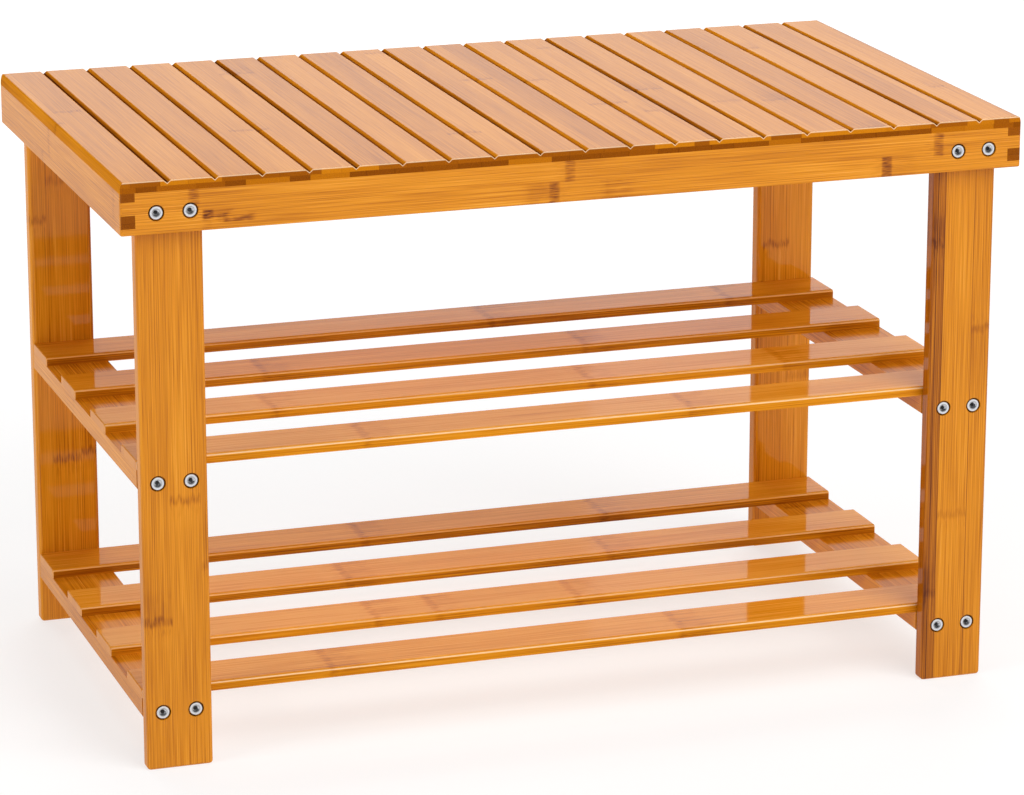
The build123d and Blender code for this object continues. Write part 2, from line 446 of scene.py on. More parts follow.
@dataclass
class Mottle:
    """Fine patterns that the knuckles of one board share, with their reach along the grain in mm."""

    zigzag: Reading
    dots: Reading
    flecks: Reading
    streaks: Reading
    lumps: Reading

    ZIGZAG: ClassVar[Waves] = Waves(0.02, 0.3)
    ZIGZAG_REACH: ClassVar[Limits] = (-4.5, 4.5)
    DOTS: ClassVar[Spots] = Spots(Waves(0.12, 1.5, detail=1.0), (0.38, 0.62))
    FLECKS: ClassVar[Spots] = Spots(Waves(0.1, 1.3, detail=1.0, start=9.0), (0.46, 0.64))
    STREAKS: ClassVar[Spots] = Spots(Waves(0.012, 0.9, start=5.0), (0.42, 0.62))
    LUMPS: ClassVar[Spots] = Spots(Waves(0.05, 0.16, start=3.0), (0.36, 0.56))

    RING: ClassVar[Limits] = (5.0, 0.6)
    RING_DOTS: ClassVar[Limits] = (0.45, 1.0)
    BAND: ClassVar[Limits] = (5.0, 3.0)
    BAND_DOTS: ClassVar[Limits] = (0.5, 1.0)
    FLECKS_FADE_IN: ClassVar[Limits] = (-20.0, -3.0)
    FLECKS_FADE_OUT: ClassVar[Limits] = (3.0, -1.0)
    FEATHER: ClassVar[Stretch] = Stretch((0.0, 4.0), (55.0, 8.0))
    PALE: ClassVar[Stretch] = Stretch((-26.0, -12.0), (-2.0, -5.0))
    STAIN: ClassVar[Stretch] = Stretch((-1.0, 3.0), (27.0, 17.0))
    RING_DEPTH: ClassVar[float] = 0.18
    FLECK_DEPTH: ClassVar[float] = 0.13
    FEATHER_DEPTH: ClassVar[float] = 0.1
    PALE_GAIN: ClassVar[float] = 0.03

    @classmethod
    def of(cls, sheet: Sheet, place: Place) -> "Mottle":
        """Makes the patterns.

        Args:
            sheet: The material's sheet.
            place: Place on the board.

        Returns:
            The patterns.
        """
        return cls(
            zigzag=cls.ZIGZAG.read(sheet, place).between(*cls.ZIGZAG_REACH),
            dots=cls.DOTS.read(sheet, place),
            flecks=cls.FLECKS.read(sheet, place),
            streaks=cls.STREAKS.read(sheet, place),
            lumps=cls.LUMPS.read(sheet, place),
        )

    def darkness(self, distance: Reading, smear: Number, band: float = 0.0) -> Reading:
        """How much darker a knuckle makes its strip.

        Args:
            distance: Distance along the grain, in mm; the streaks fade on the positive side.
            smear: Depth of the brown stain on that side.
            band: Depth of the plain brown band at the knuckle itself.

        Returns:
            The darkness; a little below 0 in the pale zone on the other side.
        """
        bent = distance + self.zigzag
        ring = abs(bent).ease(*self.RING) * self.dots.between(*self.RING_DOTS)
        flecks = bent.ease(*self.FLECKS_FADE_OUT) * distance.ease(*self.FLECKS_FADE_IN) * self.flecks
        feather = self.FEATHER.at(distance) * self.streaks
        stain = self.STAIN.at(distance) * self.lumps
        plain = abs(distance).ease(*self.BAND) * self.dots.between(*self.BAND_DOTS)
        fine = ring * self.RING_DEPTH + flecks * self.FLECK_DEPTH + feather * self.FEATHER_DEPTH
        return fine - self.PALE.at(distance) * self.PALE_GAIN + stain * smear + plain * band


@dataclass(frozen=True)
class Knuckle:
    """Joint of the cane that shows on one strip, with places from the board's lowest corner in mm.

    Its smear and band are the depths of the stain beside it and of the band at its middle. A feather
    of -1 turns it round, so that its streaks fade towards the board's start.
    """

    place: float
    low: float
    high: float
    strength: float = 1.0
    smear: float = 0.0
    feather: float = 1.0
    band: float = 0.0

    MARGIN: ClassVar[float] = 0.7

    def darkness(self, mottle: Mottle, place: Place) -> Reading:
        """How much darker the knuckle makes its strip.

        Args:
            mottle: The board's patterns.
            place: Place on the board.

        Returns:
            The darkness, which is 0 outside the strip.
        """
        from_low = place.across.ease(self.low - self.MARGIN, self.low + self.MARGIN)
        to_high = place.across.ease(self.high + self.MARGIN, self.high - self.MARGIN)
        distance = (place.along - self.place) * self.feather
        dark = mottle.darkness(distance, self.smear, self.band)
        return dark * (from_low * to_high) * self.strength


@dataclass(frozen=True)
class Seeds:
    """Steps from a board's seed to those of its random numbers, in all and for each strip."""

    knuckle_strength: float = 1.0
    knuckle_smear: float = 2.0
    knuckle_row: float = 3.0
    lower_layer: float = 4.0
    seam: float = 5.0
    end_tone: float = 8.0
    lower_end_tone: float = 9.0
    slat_tone: float = 20.0
    place_by_strip: float = 3.0
    strength_by_strip: float = 5.0
    smear_by_strip: float = 7.0


SEEDS = Seeds()


@dataclass(frozen=True)
class Bamboo:
    """Varnished bamboo of one board, laminated from strips side by side, with widths in mm."""

    node: str
    grain: Axis
    across: Axis
    through: Axis
    seams: tuple[float, ...] = ()
    seam_depth: float = 0.05
    strip_tones: tuple[float, ...] = ()
    strip_spread: float = 0.06
    knuckles: tuple[Knuckle, ...] = ()
    level: float = 0.64
    streak: float = 1.0
    ends: EndGrain = EndGrain.PALE
    # Darker edges; on the shelf slats this is painted shade under the seat
    edge_darkening: float = 0.0
    # Painted highlight: how much paler the band along each rounded arris is
    arris_highlight_gain: float = 0.0
    # Painted highlight: strength of the bright line along each rounded arris
    painted_arris_highlight: float = 0.0
    arris_varnish: float = 0.0
    edge_varnish: float = 1.0
    end_varnish: float = 1.0
    varnish: float = 0.45
    varnish_roughness: float = 0.06
    seed: float = 0.0

    TONES: ClassVar[Stops] = (
        (0.0, (0.10, 0.018, 0.001)),
        (0.3, (0.33, 0.088, 0.003)),
        (0.55, (0.55, 0.18, 0.005)),
        (0.7, (0.66, 0.235, 0.008)),
        (0.85, (0.74, 0.285, 0.018)),
        (1.0, (0.82, 0.37, 0.05)),
    )
    VARNISH_IOR: ClassVar[float] = 1.5

    # Strips, and the glue lines between them
    STRIP_WIDTH: ClassVar[float] = 22.0
    SEAM_PLACE: ClassVar[Limits] = (0.2, 0.8)
    SEAM_WIDTH: ClassVar[Limits] = (0.6, 0.15)

    # Grain
    CLOUD: ClassVar[Waves] = Waves(0.006, 0.05)
    CLOUD_BY_STRIP: ClassVar[float] = 7.3
    CLOUD_DEPTH: ClassVar[float] = 0.3
    COARSE: ClassVar[Waves] = Waves(0.006, 0.75)
    COARSE_DEPTH: ClassVar[float] = 0.4
    FINE: ClassVar[Waves] = Waves(0.012, 1.3, detail=1.0)
    FINE_DEPTH: ClassVar[float] = 0.85
    DASHES: ClassVar[Spots] = Spots(Waves(0.02, 0.8, detail=1.0), (0.56, 0.72))
    DASH_DEPTH: ClassVar[float] = 0.1
    FIBRE_BY_STRIP: ClassVar[float] = 13.7
    ROUGHNESS: ClassVar[float] = 0.45
    FIBRE_ROUGHNESS: ClassVar[float] = 0.12
    END_ROUGHNESS: ClassVar[float] = 0.1
    FIBRE_RELIEF: ClassVar[float] = 0.7
    CLOUD_RELIEF: ClassVar[float] = 0.3
    KNUCKLE_RELIEF: ClassVar[float] = 0.5
    RELIEF_DEPTH: ClassVar[float] = 0.03 * MM

    # Knuckles by chance, on boards that have none of their own
    KNUCKLE_SPACING: ClassVar[float] = 290.0
    KNUCKLE_PLACE: ClassVar[Limits] = (0.3, 0.7)
    KNUCKLE_STRENGTH: ClassVar[Limits] = (0.3, 0.75)
    KNUCKLE_SMEAR: ClassVar[Limits] = (0.5, 1.0)
    SMEAR_DEPTH: ClassVar[float] = 0.05

    # Edges and arrises, by how far the surface turns towards them, with the painted highlight along
    # each arris
    # Where the darker edges lie; on the shelf slats they are painted shade
    EDGE_TURN: ClassVar[Limits] = (0.92, 0.99)
    BARE_EDGE_TURN: ClassVar[Limits] = (0.94, 0.995)
    BARE_END_TURN: ClassVar[Limits] = (0.75, 0.97)
    ARRIS_TURN: ClassVar[Stretch] = Stretch((0.5, 0.75), (0.97, 0.9))
    # Painted highlight along each arris: where it lies, where it breaks, and its colour
    HIGHLIGHT_TURN: ClassVar[Stretch] = Stretch((0.6, 0.75), (0.95, 0.88))
    HIGHLIGHT_BREAKS: ClassVar[Waves] = Waves(0.012, 0.02)
    HIGHLIGHT_LIMITS: ClassVar[Limits] = (0.5, 0.9)
    HIGHLIGHT_COLOUR: ClassVar[Colour] = (0.92, 0.68, 0.42)

    # Cut ends
    END_TURN: ClassVar[Limits] = (0.55, 0.8)
    END_DOTS: ClassVar[Waves] = Waves(0.05, 1.1)
    END_DOT_DEPTH: ClassVar[float] = 0.3
    PALE_END: ClassVar[float] = 0.66
    BROWN_END: ClassVar[float] = 0.2
    END_SPREAD: ClassVar[Limits] = (-0.05, 0.05)
    END_SEAM_DEPTH: ClassVar[float] = 0.05
    BLOCK_LEVEL: ClassVar[float] = 0.17
    # Painted shade: how much darker the lower layer of blocks is, where the panel meets the rail
    LOWER_LAYER_SHADE: ClassVar[float] = 0.1
    BLOCK_GAIN: ClassVar[float] = 0.28
    BLOCK_LIMITS: ClassVar[Limits] = (0.3, 0.9)
    BLOCK_SEAM_DEPTH: ClassVar[float] = 0.06

    def build(self) -> bpy.types.Material:
        """Makes the material.

        Returns:
            The material.
        """
        sheet = Sheet(f"bamboo_{self.node}")
        place = self._place(sheet)
        strip, seam = self._strips(sheet, place, self.seed)
        fibre = self._fibre(sheet, place, strip)
        cloud = self.CLOUD.read(sheet, place, lift=strip * self.CLOUD_BY_STRIP) - HALF
        knuckle = self._knuckle_darkness(sheet, place, strip)
        level = self.level + self._shade(sheet, strip) + cloud * self.CLOUD_DEPTH + fibre * self.streak
        level = level - knuckle - seam * self.seam_depth
        level = level - self._carving(sheet, place) + self._edge_darkening_and_highlight(sheet)
        end = sheet.facing(self.grain).ease(*self.END_TURN)
        colour = sheet.ramp(level.clamped(), self.TONES)
        colour = sheet.blend(end, colour, self._end_colour(sheet, place))
        relief = fibre * self.FIBRE_RELIEF + cloud * self.CLOUD_RELIEF - knuckle * self.KNUCKLE_RELIEF
        sheet.set_surface(
            Base_Color=self._add_painted_highlight(sheet, place, colour),
            Roughness=self.ROUGHNESS + fibre * self.FIBRE_ROUGHNESS + end * self.END_ROUGHNESS,
            Normal=sheet.bump(relief + HALF, self.RELIEF_DEPTH),
            Specular_IOR_Level=0.0,
            Coat_Weight=self._varnish(sheet),
            Coat_Roughness=self.varnish_roughness,
            Coat_IOR=self.VARNISH_IOR,
        )
        return sheet.material

    def _place(self, sheet: Sheet) -> Place:
        """Place on the board, from its lowest corner.

        Args:
            sheet: The material's sheet.

        Returns:
            The place.
        """
        low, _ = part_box(self.node)
        axes = (self.grain, self.across, self.through)
        return Place(*(sheet.along(axis) - low[axis.value] / MM for axis in axes))

    def _strips(self, sheet: Sheet, place: Place, seed: float) -> tuple[Reading, Reading]:
        """Strips that the board is glued up from.

        Args:
            sheet: The material's sheet.
            place: Place on the board.
            seed: Chooses the widths where the board has no seams of its own.

        Returns:
            The strip's number, and the thin glue line where two strips meet.
        """
        outer, inner = self.SEAM_WIDTH
        if self.seams:
            strip = sum(place.across > seam for seam in self.seams)
            return strip, sum(abs(place.across - seam).ease(outer, inner) for seam in self.seams)
        cells = place.across / self.STRIP_WIDTH
        edge = sheet.chance(cells.floor(), seed + SEEDS.seam).between(*self.SEAM_PLACE)
        line = abs(cells.part() - edge).ease(outer / self.STRIP_WIDTH, inner / self.STRIP_WIDTH)
        return cells.floor() + (cells.part() > edge), line

    def _shade(self, sheet: Sheet, strip: Reading) -> Reading:
        """Tone of each strip against the board's, given or by chance.

        Args:
            sheet: The material's sheet.
            strip: The strip's number.

        Returns:
            The difference in tone.
        """
        if self.strip_tones:
            return sum(strip.matches(index) * tone for index, tone in enumerate(self.strip_tones))
        return sheet.chance(strip, self.seed).between(-self.strip_spread, self.strip_spread)

    def _fibre(self, sheet: Sheet, place: Place, strip: Reading) -> Reading:
        """Fine streaks along the grain.

        Args:
            sheet: The material's sheet.
            place: Place on the board.
            strip: The strip's number.

        Returns:
            The streaks, around 0.
        """
        shift = strip * self.FIBRE_BY_STRIP + self.seed
        coarse = self.COARSE.read(sheet, place, shift) - HALF
        fine = self.FINE.read(sheet, place, shift) - HALF
        dashes = self.DASHES.read(sheet, place, -shift)
        return coarse * self.COARSE_DEPTH + fine * self.FINE_DEPTH - dashes * self.DASH_DEPTH

    def _knuckle_darkness(self, sheet: Sheet, place: Place, strip: Reading) -> Reading:
        """How much darker the knuckles make the board.

        Args:
            sheet: The material's sheet.
            place: Place on the board.
            strip: The strip's number.

        Returns:
            The darkness.
        """
        mottle = Mottle.of(sheet, place)
        if self.knuckles:
            return sum(knuckle.darkness(mottle, place) for knuckle in self.knuckles)
        rows = place.along / self.KNUCKLE_SPACING + sheet.chance(strip, self.seed + SEEDS.knuckle_row)
        row = rows.floor()
        place_seed = strip * SEEDS.place_by_strip + self.seed
        strength_seed = strip * SEEDS.strength_by_strip + (self.seed + SEEDS.knuckle_strength)
        smear_seed = strip * SEEDS.smear_by_strip + (self.seed + SEEDS.knuckle_smear)
        middle = sheet.chance(row, place_seed).between(*self.KNUCKLE_PLACE)
        strength = sheet.chance(row, strength_seed).ease(*self.KNUCKLE_STRENGTH)
        smear = sheet.chance(row, smear_seed).ease(*self.KNUCKLE_SMEAR) * self.SMEAR_DEPTH
        distance = (rows.part() - middle) * self.KNUCKLE_SPACING
        return mottle.darkness(distance, smear) * strength

    def _carving(self, sheet: Sheet, place: Place) -> Number:
        """How much darker carved places are; a plain board has none."""
        return 0.0

    def _arris(self, sheet: Sheet) -> Reading:
        """1 where a rounded arris turns towards the edge, else 0."""
        return self.ARRIS_TURN.at(sheet.facing(self.across))

    def _edge_darkening_and_highlight(self, sheet: Sheet) -> Reading:
        """Darker edges, which on the shelf slats are painted shade, and a pale band along each rounded
        arris, which is a painted highlight.
        """
        edge = sheet.facing(self.across).ease(*self.EDGE_TURN)
        return self._arris(sheet) * self.arris_highlight_gain - edge * self.edge_darkening

    def _add_painted_highlight(self, sheet: Sheet, place: Place, colour: bpy.types.NodeSocket) -> bpy.types.NodeSocket:
        """Adds a painted highlight: a bright line along each rounded arris, broken where the board is
        uneven.

        Args:
            sheet: The material's sheet.
            place: Place on the board.
            colour: The colour so far.

        Returns:
            The colour with the line.
        """
        if not self.painted_arris_highlight:
            return colour
        start = self.seed / self.HIGHLIGHT_BREAKS.across
        shifted = Place(sheet.along(self.grain), place.across + start, place.through)
        low, high = (limit - self.painted_arris_highlight for limit in self.HIGHLIGHT_LIMITS)
        whole = self.HIGHLIGHT_BREAKS.read(sheet, shifted).ease(low, high)
        # Painted highlight along the arris
        line = self.HIGHLIGHT_TURN.at(sheet.facing(self.across)) * whole
        return sheet.blend(line * self.painted_arris_highlight, colour, self.HIGHLIGHT_COLOUR)

    def _varnish(self, sheet: Sheet) -> Number:
        """Weight of the varnish, which may be thin on sanded edges and ends and thick on an arris.

        Args:
            sheet: The material's sheet.

        Returns:
            The weight.
        """
        if self.edge_varnish == self.end_varnish == 1.0 and not self.arris_varnish:
            return self.varnish
        bare_edge = sheet.facing(self.across).ease(*self.BARE_EDGE_TURN) * (1.0 - self.edge_varnish)
        bare_end = sheet.facing(self.grain).ease(*self.BARE_END_TURN) * (1.0 - self.end_varnish)
        return self.varnish * (1.0 - bare_edge - bare_end) + self._arris(sheet) * self.arris_varnish

    def _end_colour(self, sheet: Sheet, place: Place) -> bpy.types.NodeSocket:
        """Colour of the cut ends, with the dots of the cut fibres.

        Args:
            sheet: The material's sheet.
            place: Place on the board.

        Returns:
            The colour.
        """
        dots = self.END_DOTS.read(sheet, place) - HALF
        if self.ends is EndGrain.BLOCKS:
            level = self._blocks(sheet, place)
        else:
            strip, seam = self._strips(sheet, place, self.seed)
            tone = sheet.chance(strip, self.seed + SEEDS.end_tone).between(*self.END_SPREAD)
            middle = self.PALE_END if self.ends is EndGrain.PALE else self.BROWN_END
            level = middle + tone - seam * self.END_SEAM_DEPTH
        return sheet.ramp((level + dots * self.END_DOT_DEPTH).clamped(), self.TONES)

    def _blocks(self, sheet: Sheet, place: Place) -> Reading:
        """Tone of the cut ends of two layers of strips, with painted shade on the lower layer where the
        panel meets the rail.

        Args:
            sheet: The material's sheet.
            place: Place on the board.

        Returns:
            The tone.
        """
        upper, upper_seam = self._strips(sheet, place, self.seed)
        lower, lower_seam = self._strips(sheet, place, self.seed + SEEDS.lower_layer)
        is_upper = place.through > size_of(self.node, self.through) / 2
        upper_tone = sheet.chance(upper, self.seed + SEEDS.end_tone)
        lower_tone = sheet.chance(lower, self.seed + SEEDS.lower_end_tone)
        tone = lower_tone + (upper_tone - lower_tone) * is_upper
        seam = lower_seam + (upper_seam - lower_seam) * is_upper
        # The lower layer is darker by painted shade
        level = self.BLOCK_LEVEL + is_upper * self.LOWER_LAYER_SHADE - seam * self.BLOCK_SEAM_DEPTH
        return level + tone.ease(*self.BLOCK_LIMITS) * self.BLOCK_GAIN


@dataclass(frozen=True)
class GroovedBamboo(Bamboo):
    """Bamboo with grooves along the grain, some of them cut into a brown strip."""

    groove_pitch: float = 35.0
    groove_half_width: float = 2.6
    groove_depth: float = 2.2
    groove_count: int = 19
    brown_grooves: tuple[int, ...] = ()
    slat_spread: float = 0.065

    WALL_SHARE: ClassVar[float] = 0.6
    WALL_DEPTH: ClassVar[Limits] = (0.02, 0.22)
    # Painted shade along each groove's bottom
    GROOVE_SHADE_WIDTH: ClassVar[Limits] = (1.25, 0.35)
    GROOVE_SHADE_DEPTH: ClassVar[float] = 0.4
    END_STRIP: ClassVar[Limits] = (5.0, 3.0)
    END_STRIP_DEPTH: ClassVar[float] = 0.22
    # Painted highlight: the pale line just under the top, along the arris above the cut ends
    HIGHLIGHT_BAND: ClassVar[Limits] = (0.95, 0.45)
    HIGHLIGHT_BAND_TURN: ClassVar[Limits] = (0.2, 0.45)
    TOP_TURN: ClassVar[Limits] = (0.93, 0.995)
    SIDE_VARNISH: ClassVar[float] = 0.06

    def _groove(self, place: Place) -> tuple[Reading, Reading, Reading]:
        """Nearest groove.

        Args:
            place: Place on the board.

        Returns:
            Its number, the distance to its middle, and 1 if there is such a groove, else 0.
        """
        number = (place.across / self.groove_pitch).rounded()
        real = (number > HALF) * (number < self.groove_count + HALF)
        return number, abs(place.across - number * self.groove_pitch), real

    def _carving(self, sheet: Sheet, place: Place) -> Number:
        """How much darker the grooves are, and the tone of each slat between them.

        Args:
            sheet: The material's sheet.
            place: Place on the board.

        Returns:
            The darkness of the slats, the groove walls, the painted shade along each groove's bottom
            and the strip at the far end. The underside has none.
        """
        number, offset, real = self._groove(place)
        wall = offset.ease(self.groove_half_width, self.groove_half_width * self.WALL_SHARE)
        brown = sum(number.matches(groove) for groove in self.brown_grooves)
        # Painted shade along the groove's bottom
        line = offset.ease(*self.GROOVE_SHADE_WIDTH)
        grooves = (wall * brown.between(*self.WALL_DEPTH) + line * self.GROOVE_SHADE_DEPTH) * real
        slat = sheet.chance((place.across / self.groove_pitch).floor(), self.seed + SEEDS.slat_tone)
        tone = slat.between(-self.slat_spread, self.slat_spread)
        to_end = size_of(self.node, self.across) - place.across
        end_strip = to_end.ease(*self.END_STRIP) * self.END_STRIP_DEPTH
        is_upper = place.through > size_of(self.node, self.through) / 2
        return (grooves + tone * (1.0 - wall) + end_strip) * is_upper

    def _add_painted_highlight(self, sheet: Sheet, place: Place, colour: bpy.types.NodeSocket) -> bpy.types.NodeSocket:
        """Adds a painted highlight: a pale line along the arris above the cut ends.

        Args:
            sheet: The material's sheet.
            place: Place on the board.
            colour: The colour so far.

        Returns:
            The colour with the line.
        """
        _, offset, real = self._groove(place)
        cut = (1.0 - offset / self.groove_half_width).clamped() * real * self.groove_depth
        below_top = size_of(self.node, self.through) - cut - place.through
        # Painted highlight along the front and back arris
        line = below_top.ease(*self.HIGHLIGHT_BAND) * sheet.facing(self.grain).ease(*self.HIGHLIGHT_BAND_TURN)
        return sheet.blend(line * self.painted_arris_highlight, colour, self.HIGHLIGHT_COLOUR)

    def _varnish(self, sheet: Sheet) -> Number:
        """Weight of the varnish, which is thin on every side of the panel but its top."""
        top = sheet.facing(self.through).ease(*self.TOP_TURN)
        return self.varnish * top.between(self.SIDE_VARNISH, 1.0)


@dataclass(frozen=True)
class Zinc:
    """Bright zinc plating on the screws, with turned rings on their heads, painted shade in the socket
    and round the rim, and sizes in mm.
    """

    node: str
    leg_centre: float
    half_spacing: float

    TONES: ClassVar[Stops] = (
        (0.0, (0.02, 0.02, 0.02)),
        (0.5, (0.42, 0.43, 0.45)),
        (1.0, (0.94, 0.95, 0.97)),
    )
    GRIME: ClassVar[Waves] = Waves(0.9, 0.9, detail=3.0)
    # Painted shade round the head's rim, uneven in patches
    RIM_SHADE_PATCHES: ClassVar[Spots] = Spots(Waves(0.3, 0.3, detail=1.0), (0.44, 0.56))
    # Painted shade in the socket
    SOCKET_SHADE: ClassVar[Limits] = (2.0, 1.3)
    RING_RADIUS: ClassVar[float] = 2.9
    RING: ClassVar[Limits] = (0.7, 0.2)
    # Painted shade round the head's rim
    RIM_SHADE: ClassVar[Limits] = (4.2, 5.1)
    LEVEL: ClassVar[float] = 0.76
    SOCKET_SHADE_DEPTH: ClassVar[float] = 0.76
    RING_DEPTH: ClassVar[float] = 0.22
    RIM_SHADE_DEPTH: ClassVar[float] = 0.34
    GRIME_DEPTH: ClassVar[float] = 0.3
    RIM_SHADE_PATCH_DEPTH: ClassVar[float] = 0.5
    ROUGHNESS: ClassVar[float] = 0.22
    GRIME_ROUGHNESS: ClassVar[float] = 0.16
    RING_ROUGHNESS: ClassVar[float] = 0.1
    RING_RELIEF: ClassVar[float] = 0.5
    RELIEF_DEPTH: ClassVar[float] = 0.02 * MM

    def build(self) -> bpy.types.Material:
        """Makes the material.

        Returns:
            The material.
        """
        sheet = Sheet(f"zinc_{self.node}")
        place = Place(*(sheet.along(axis) for axis in Axis))
        sideways = abs(abs(sheet.along(Axis.X)) - self.leg_centre) - self.half_spacing
        radius = sideways.diagonal(sheet.along(Axis.Z) - middle_of(self.node, Axis.Z))
        grime = self.GRIME.read(sheet, place) - HALF
        rim_shade_patches = self.RIM_SHADE_PATCHES.read(sheet, place) - HALF
        ring = abs(radius - self.RING_RADIUS).ease(*self.RING)
        # Painted shade round the rim
        rim_shade = radius.ease(*self.RIM_SHADE)
        # Painted shade in the socket; the ring is a turned ring
        tone = self.LEVEL - radius.ease(*self.SOCKET_SHADE) * self.SOCKET_SHADE_DEPTH - ring * self.RING_DEPTH
        # Painted shade round the rim, uneven in patches
        tone = tone - rim_shade * self.RIM_SHADE_DEPTH + grime * self.GRIME_DEPTH + rim_shade_patches * rim_shade * self.RIM_SHADE_PATCH_DEPTH
        sheet.set_surface(
            Base_Color=sheet.ramp(tone.clamped(), self.TONES),
            Roughness=self.ROUGHNESS + grime * self.GRIME_ROUGHNESS + ring * self.RING_ROUGHNESS,
            Normal=sheet.bump(grime - ring * self.RING_RELIEF, self.RELIEF_DEPTH),
            Metallic=1.0,
        )
        return sheet.material


def dress(finish: Union[Bamboo, Zinc]) -> None:
    """Gives a node its finish.

    Args:
        finish: The finish, which names its node.
    """
    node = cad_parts[finish.node]
    node.data.materials.clear()
    node.data.materials.append(finish.build())
    log.info("dressed %s", finish.node)


@dataclass
class Seat:
    """Grooved panel on its finger-jointed frame."""

    long_rail_seams: tuple[float, ...] = (15.5,)
    left_rail_seams: tuple[float, ...] = (9.0, 22.0)
    right_rail_seams: tuple[float, ...] = (10.0, 24.0)
    end_rail_end_varnish: float = 0.2
    brown_grooves: tuple[int, ...] = (1, 5, 9, 13, 14, 18, 19)
    front_rail_knuckles: tuple[Knuckle, ...] = (
        Knuckle(54.0, 15.5, 31.0, band=0.1),
        Knuckle(63.5, 0.0, 15.5, strength=0.6),
        Knuckle(64.5, 8.5, 15.0, strength=1.8, smear=0.1, band=0.12),
        Knuckle(75.0, 5.0, 11.5, strength=0.6, smear=0.7),
        Knuckle(326.0, 0.0, 15.5, strength=1.3, smear=0.08, feather=-1.0, band=0.12),
        Knuckle(338.0, 15.5, 31.0, strength=1.2, band=0.08),
        Knuckle(365.0, 0.0, 15.5, strength=0.3, smear=0.3),
        Knuckle(590.0, 0.0, 15.5, strength=1.2, smear=0.06, band=0.26),
        Knuckle(632.0, 13.0, 31.0, strength=1.2, smear=0.04, band=0.12),
    )
    left_rail_knuckles: tuple[Knuckle, ...] = (
        Knuckle(228.0, 9.0, 31.0, strength=0.9),
        Knuckle(252.0, 0.0, 9.0, strength=0.8),
        Knuckle(20.0, 9.0, 31.0, strength=0.6),
    )

    def dress(self) -> None:
        """Gives each seat piece its finish."""
        along_x = (Axis.X, Axis.Z, Axis.Y)
        along_y = (Axis.Y, Axis.Z, Axis.X)
        dress(GroovedBamboo(
            "seat_panel", Axis.Y, Axis.X, Axis.Z, level=0.62, streak=0.55, ends=EndGrain.BLOCKS,
            # Painted highlight along the panel's front and back arris
            edge_darkening=0.06, painted_arris_highlight=0.7, varnish=0.5, seed=3.0, brown_grooves=self.brown_grooves,
        ))
        dress(Bamboo(
            "seat_front_rail", *along_x, self.long_rail_seams, knuckles=self.front_rail_knuckles,
            level=0.68, seed=11.0,
        ))
        dress(Bamboo("seat_back_rail", *along_x, self.long_rail_seams, seed=12.0))
        dress(Bamboo(
            "seat_left_end_rail", *along_y, self.left_rail_seams, knuckles=self.left_rail_knuckles,
            ends=EndGrain.BROWN, end_varnish=self.end_rail_end_varnish, seed=21.0,
        ))
        dress(Bamboo(
            "seat_right_end_rail", *along_y, self.right_rail_seams, ends=EndGrain.BROWN,
            end_varnish=self.end_rail_end_varnish, seed=22.0,
        ))


@dataclass(frozen=True)
class Leg:
    """One flat-board leg, with its seams, the tones of its strips and its knuckles."""

    name: str
    seams: tuple[float, ...]
    strip_tones: tuple[float, ...]
    knuckles: tuple[Knuckle, ...]
    level: float
    seed: float
    seam_depth: float = 0.08

    def dress(self) -> None:
        """Gives the leg its finish."""
        dress(Bamboo(
            f"{self.name}_leg", Axis.Z, Axis.X, Axis.Y, self.seams, seam_depth=self.seam_depth,
            strip_tones=self.strip_tones, knuckles=self.knuckles, level=self.level, seed=self.seed,
        ))


@dataclass
class Legs:
    """Four legs; those at the front are a little darker than those at the back."""

    front_level: ClassVar[float] = 0.64
    back_level: ClassVar[float] = 0.7

    front_left: Leg = Leg(
        "front_left", (21.0, 44.0), (-0.02, 0.02, 0.0),
        (
            Knuckle(115.0, 0.0, 21.0, strength=1.4, smear=0.04),
            Knuckle(207.0, 21.0, 44.0, strength=1.2),
            Knuckle(155.0, 44.0, 50.0, strength=0.8),
        ),
        front_level, 31.0,
    )
    front_right: Leg = Leg(
        "front_right", (3.5, 9.5, 34.0), (-0.3, -0.26, 0.0, -0.02),
        (
            Knuckle(352.0, 0.0, 9.5, smear=0.1),
            Knuckle(282.0, 34.0, 50.0, strength=0.9, feather=-1.0),
            Knuckle(135.0, 9.5, 34.0, strength=0.8),
            Knuckle(71.0, 0.0, 9.5, strength=0.8, smear=0.08),
        ),
        front_level, 32.0, seam_depth=0.3,
    )
    back_left: Leg = Leg(
        "back_left", (13.5, 36.5), (0.03, -0.02, -0.05),
        (
            Knuckle(336.0, 0.0, 13.5, strength=1.3),
            Knuckle(137.0, 13.5, 36.5, strength=1.5),
            Knuckle(142.0, 36.5, 50.0, strength=1.5),
            Knuckle(367.0, 13.5, 36.5, strength=0.9),
        ),
        back_level, 33.0,
    )
    back_right: Leg = Leg(
        "back_right", (5.0, 28.5), (-0.06, 0.0, 0.03),
        (
            Knuckle(267.0, 5.0, 28.5, strength=1.4),
            Knuckle(150.0, 28.5, 50.0, strength=0.8),
        ),
        back_level, 34.0,
    )

    def dress(self) -> None:
        """Gives each leg its finish."""
        for leg in (self.front_left, self.front_right, self.back_left, self.back_right):
            leg.dress()


